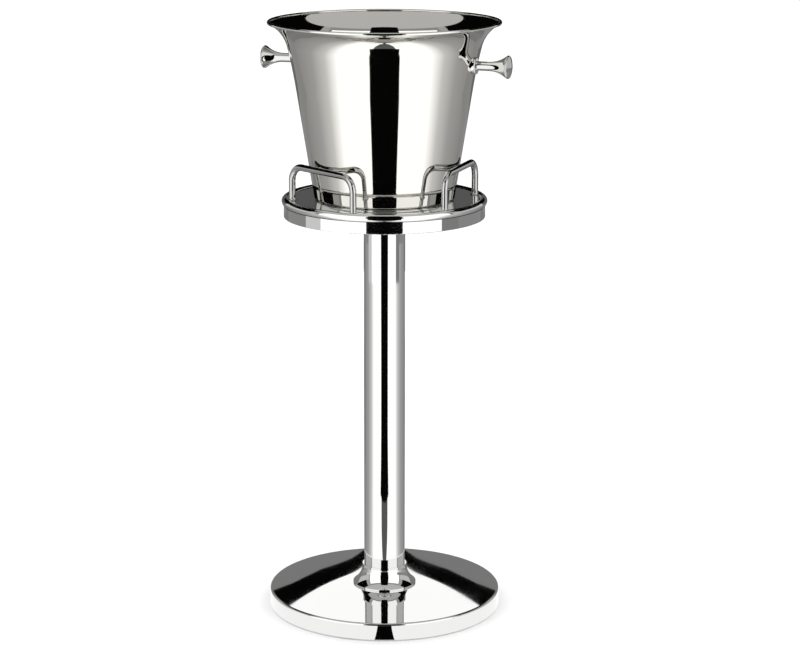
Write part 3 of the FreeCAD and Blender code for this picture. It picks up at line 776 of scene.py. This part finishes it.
def mesh_object(name, corners, faces, material):
    """A flat-shaded object of the scene with one material."""
    mesh = bpy.data.meshes.new(name)
    mesh.from_pydata(corners, [], faces)
    mesh.update()
    mesh.materials.append(material)
    piece = bpy.data.objects.new(name, mesh)
    bpy.context.scene.collection.objects.link(piece)
    return piece


def wall_card(name, from_angle, to_angle, bottom, top, strength, distance):
    """An upright card, curved round the stand between two angles from the direction to the camera."""
    steps = max(1, round((to_angle - from_angle) / WALL_CARD_STEP))
    corners = []
    for step in range(steps + 1):
        angle = from_angle + (to_angle - from_angle) * step / steps
        corners += [from_view(angle, distance, bottom), from_view(angle, distance, top)]
    faces = [(i, i + 2, i + 3, i + 1) for i in range(0, 2 * steps, 2)]
    only_reflected(mesh_object(name, corners, faces, emitter(name, strength)))


def flat_card(name, angle, distance, outline_points, strength):
    """An upright card square to the view, in front or behind; outline_points are (to the right, height)."""
    corners = [
        from_view(angle, distance, height) + from_view(90, across, 0)
        for across, height in outline_points
    ]
    only_reflected(mesh_object(name, corners, [range(len(corners))], emitter(name, strength)))


def make_floor():
    """Pale matt floor that the steel does not see; it sees the floor card instead."""
    bpy.ops.mesh.primitive_plane_add(size=16)
    floor = bpy.context.object
    floor.name = "floor"
    floor.location.z = -CARD_GAP
    paint = Paint("floor_paint", (0.9, 0.9, 0.9), 0.0, 0.8)
    floor.data.materials.append(paint.material)
    floor.visible_glossy = False


# Brightness of the floor card, as a share of its strength, by degrees from the direction to the camera; the
# fall-off is painted lighting of the floor as the steel reflects it.
FLOOR_CARD_LEVELS = [(0, 1.0), (60, 1.0), (78, 0.5), (100, 0.3), (140, 0.2), (165, 0.12)]
FLOOR_CARD_STRENGTH = 1.35


def set_ramp(ramp, stops):
    """Replaces a colour ramp's stops, each (position, grey level)."""
    elements = ramp.color_ramp.elements
    while len(elements) > 1:
        elements.remove(elements[-1])
    elements[0].position = stops[0][0]
    for position, _ in stops[1:]:
        elements.new(position)
    for element, (_, level) in zip(elements, stops):
        element.color = (level, level, level, 1)


def make_floor_card():
    """What the steel sees of the floor, as a glowing card that paints in the lit floor's reflection: bright
    towards the camera, falling off to the sides and behind.
    """
    bpy.ops.mesh.primitive_circle_add(vertices=96, radius=6, fill_type="NGON", rotation=(0, 0, VIEW_AZIMUTH))
    card = bpy.context.object
    card.name = "floor_card"
    card.location.z = CARD_GAP
    material = emitter("floor_card", FLOOR_CARD_STRENGTH)
    nodes, links = material.node_tree.nodes, material.node_tree.links
    coords = nodes.new("ShaderNodeTexCoord")
    split = nodes.new("ShaderNodeSeparateXYZ")
    links.new(coords.outputs["Object"], split.inputs["Vector"])
    flip = nodes.new("ShaderNodeMath")
    flip.operation = "MULTIPLY"
    flip.inputs[1].default_value = -1
    links.new(split.outputs["Y"], flip.inputs[0])
    angle = nodes.new("ShaderNodeMath")
    angle.operation = "ARCTAN2"
    links.new(split.outputs["X"], angle.inputs[0])
    links.new(flip.outputs["Value"], angle.inputs[1])
    size = nodes.new("ShaderNodeMath")
    size.operation = "ABSOLUTE"
    links.new(angle.outputs["Value"], size.inputs[0])
    turn = nodes.new("ShaderNodeMapRange")
    turn.inputs["From Max"].default_value = math.pi
    links.new(size.outputs["Value"], turn.inputs["Value"])
    ramp = nodes.new("ShaderNodeValToRGB")
    set_ramp(ramp, [(degrees / 180, level) for degrees, level in FLOOR_CARD_LEVELS])
    links.new(turn.outputs["Result"], ramp.inputs["Fac"])
    links.new(ramp.outputs["Color"], nodes["Emission"].inputs["Color"])
    card.data.materials.append(material)
    only_reflected(card)


# Dark strips painted into the floor's reflection in front of the stand: brightness, then half width by
# distance from the axis.
FLOOR_GAPS = {
    "floor_gap_near": (BLACK, [(0.143, 0.0125), (0.2, 0.0145)]),
    "floor_gap_middle": (0.11, [(0.2, 0.035), (0.33, 0.095), (0.45, 0.135)]),
    "floor_gap_far": (BLACK, [(0.45, 0.182), (0.75, 0.25), (1.2, 0.4)]),
}


def make_floor_gaps():
    """Cards of painted dark in the floor's reflection, which widen away from the stand towards the camera."""
    for name, (strength, sections) in FLOOR_GAPS.items():
        corners = []
        for distance, half_width in sections:
            centre = from_view(0, distance, 2 * CARD_GAP)
            across = from_view(90, half_width, 0)
            corners += [centre - across, centre + across]
        faces = [(i, i + 1, i + 3, i + 2) for i in range(0, len(corners) - 2, 2)]
        only_reflected(mesh_object(name, corners, faces, emitter(name, strength)))


def both_edges(left_edge):
    """Outline points up a card's left edge, then down the same edge mirrored."""
    return left_edge + [(-across, height) for across, height in reversed(left_edge)]


def make_base_cards():
    """Three cards close behind the stand, for the sloping top of the base: white, then black, then grey."""
    white_edge = [(-0.05, 0.147), (-0.152, 0.24), (-0.19, 0.32)]
    black_edge = [(-0.049, 0.12), (-0.0997, 0.146), (-0.145, 0.182), (-0.19, 0.206), (-0.23, 0.36)]
    grey_edge = [(-0.5, 0), (-0.5, 0.4)]
    flat_card("base_white", 180, 0.45, [(0, 0.1)] + both_edges(white_edge), 1.2)
    flat_card("base_black", 180, 0.452, [(0, 0.085)] + both_edges(black_edge), BLACK)
    flat_card("base_grey", 180, 0.454, both_edges(grey_edge), 0.22)


def level_disc(name, radius, height, strength):
    """A round level card centred on the stand's axis."""
    bpy.ops.mesh.primitive_circle_add(vertices=96, radius=radius, fill_type="NGON", location=(0, 0, height))
    disc = bpy.context.object
    disc.name = name
    disc.data.materials.append(emitter(name, strength))
    only_reflected(disc)


FRONT_DISTANCE = 1.9
SIDE_DISTANCE = 2.3
BACK_DISTANCE = 1.7
OVERHEAD_HEIGHT = 2.35
SOFTBOX_STRENGTH = 1.35

# Cards round the stand: name, angles they stand between in degrees, bottom, top, brightness.
FRONT_CARDS = [
    ("softbox_left", -75, -12, 0, 2.1, SOFTBOX_STRENGTH),
    ("softbox_left_low", -98, -75, 0, 0.3, 0.7),
    ("softbox_right_low", 12, 66, 0, 0.3, SOFTBOX_STRENGTH),
    ("softbox_right", 12, 75, 0.3, 2.1, SOFTBOX_STRENGTH),
    ("right_low", 66, 90, 0, 0.3, 0.24),
]
SIDE_CARDS = [
    ("low", 80, 140, 0, 0.39, 0.28),
    ("middle", 80, 140, 0.39, 1.2, 0.6),
    ("front", 80, 93, 1.2, 3.0, 0.42),
    ("rear", 93, 140, 1.2, 3.0, BLACK),
]
BACK_CARDS = [
    ("back_low", 140, 220, 0, 0.3, 0.28),
    ("back_lower", 140, 220, 0.3, 0.62, 0.15),
    ("back_middle", 140, 220, 0.62, 0.84, 0.1),
    ("back_upper", 140, 220, 0.84, OVERHEAD_HEIGHT, BLACK),
]


def make_cards():
    """All cards that the steel reflects; the side cards stand on both sides, mirrored."""
    make_floor_card()
    # Round the stand's foot the painted floor reflection takes one even level.
    level_disc("floor_near", radius=0.205, height=1.5 * CARD_GAP, strength=0.82 * FLOOR_CARD_STRENGTH)
    make_floor_gaps()
    make_base_cards()
    front_edge = [(-0.4, 0), (-0.43, 0.3), (-0.43, 2.2)]
    flat_card("front_flag", angle=0, distance=1.2, outline_points=both_edges(front_edge), strength=BLACK)
    for card in FRONT_CARDS:
        wall_card(*card, FRONT_DISTANCE)
    for side, turn in (("left", -1), ("right", 1)):
        for name, start, end, bottom, top, strength in SIDE_CARDS:
            angles = sorted((turn * start, turn * end))
            wall_card(f"side_{side}_{name}", *angles, bottom, top, strength, SIDE_DISTANCE)
    for card in BACK_CARDS:
        wall_card(*card, BACK_DISTANCE)
    level_disc("overhead", radius=BACK_DISTANCE, height=OVERHEAD_HEIGHT, strength=0.54)


def make_dome():
    """White background all round, for the camera only."""
    bpy.ops.mesh.primitive_uv_sphere_add(segments=48, ring_count=24, radius=9)
    dome = bpy.context.object
    dome.name = "backdrop"
    dome.data.materials.append(emitter("backdrop", 1.0))
    dome.visible_glossy = False
    dome.visible_diffuse = False
    dome.visible_shadow = False
    dome.visible_transmission = False


def make_world():
    """Faint even light from all round."""
    world = bpy.data.worlds.new("studio")
    bpy.context.scene.world = world
    world.use_nodes = True
    background = world.node_tree.nodes["Background"]
    background.inputs["Color"].default_value = (1, 1, 1, 1)
    background.inputs["Strength"].default_value = 0.3


def make_top_light():
    """Very soft light from above; the steel sees the cards instead."""
    light = bpy.data.lights.new("top_light", "SUN")
    light.angle = math.radians(150)
    light.energy = 3.2
    lamp = bpy.data.objects.new("top_light", light)
    lamp.visible_glossy = False
    lamp.visible_camera = False
    bpy.context.scene.collection.objects.link(lamp)


# Assembly -----------------------------------------------------------------------------------------

turned_steel = mirror_steel("polished_steel", lines=True)
# Darker copies of the polished steel for the knobs and loops: painted shade, standing in for the dark
# surroundings that they reflect.
knob_metal_painted_shade = mirror_steel("polished_knob_painted_shade", lines=False, painted_light_tone=(0.85, 0.85, 0.84))
rod_steel_painted_shade = mirror_steel("polished_rod_painted_shade", lines=False, painted_light_tone=(0.7, 0.7, 0.7))
# A warm copy of the polished steel for the bucket: a painted tint of the warm surroundings that it reflects.
bucket_steel_warm_reflection = mirror_steel("polished_bucket_warm_reflection", lines=True, painted_light_tone=(1, 0.98, 0.94))
weld_metal = weld_steel()
zinc = zinc_steel()
rubber = black_rubber()
node_materials = {
    "polished_steel": turned_steel,
    "plain_steel": zinc,
    "cast_iron": cast_iron(),
    "black_rubber": rubber,
    "white_nylon": white_nylon(),
}
slots = {part["node"]: part["material_slot"] for part in frame["record"]["subparts"]}
for name, node in frame["nodes"].items():
    node.data.materials.clear()
    node.data.materials.append(node_materials[slots[name]])

make_camera()
make_floor()
make_world()
make_cards()
make_dome()
make_top_light()

turned_piece("bucket_shell", "bucket", "polished_steel", bucket_steel_warm_reflection, bucket_outline())
for knob, is_left in (("knob_right", False), ("knob_left", True)):
    place = on_knob_axis(is_left)
    turned_piece(knob, "bucket", "polished_steel", knob_metal_painted_shade, knob_outline(), KNOB_SEGMENTS, place)
make_knob_screws(zinc)
turned_piece("base_shell", "stand", "polished_steel", turned_steel, base_outline())
turned_piece("base_collar", "stand", "polished_steel", turned_steel, collar_outline())
make_feet(rubber)
make_cover_screws(zinc)
make_loops(rod_steel_painted_shade, weld_metal)
make_column_weld(weld_metal)

bpy.context.scene.view_settings.view_transform = "Standard"
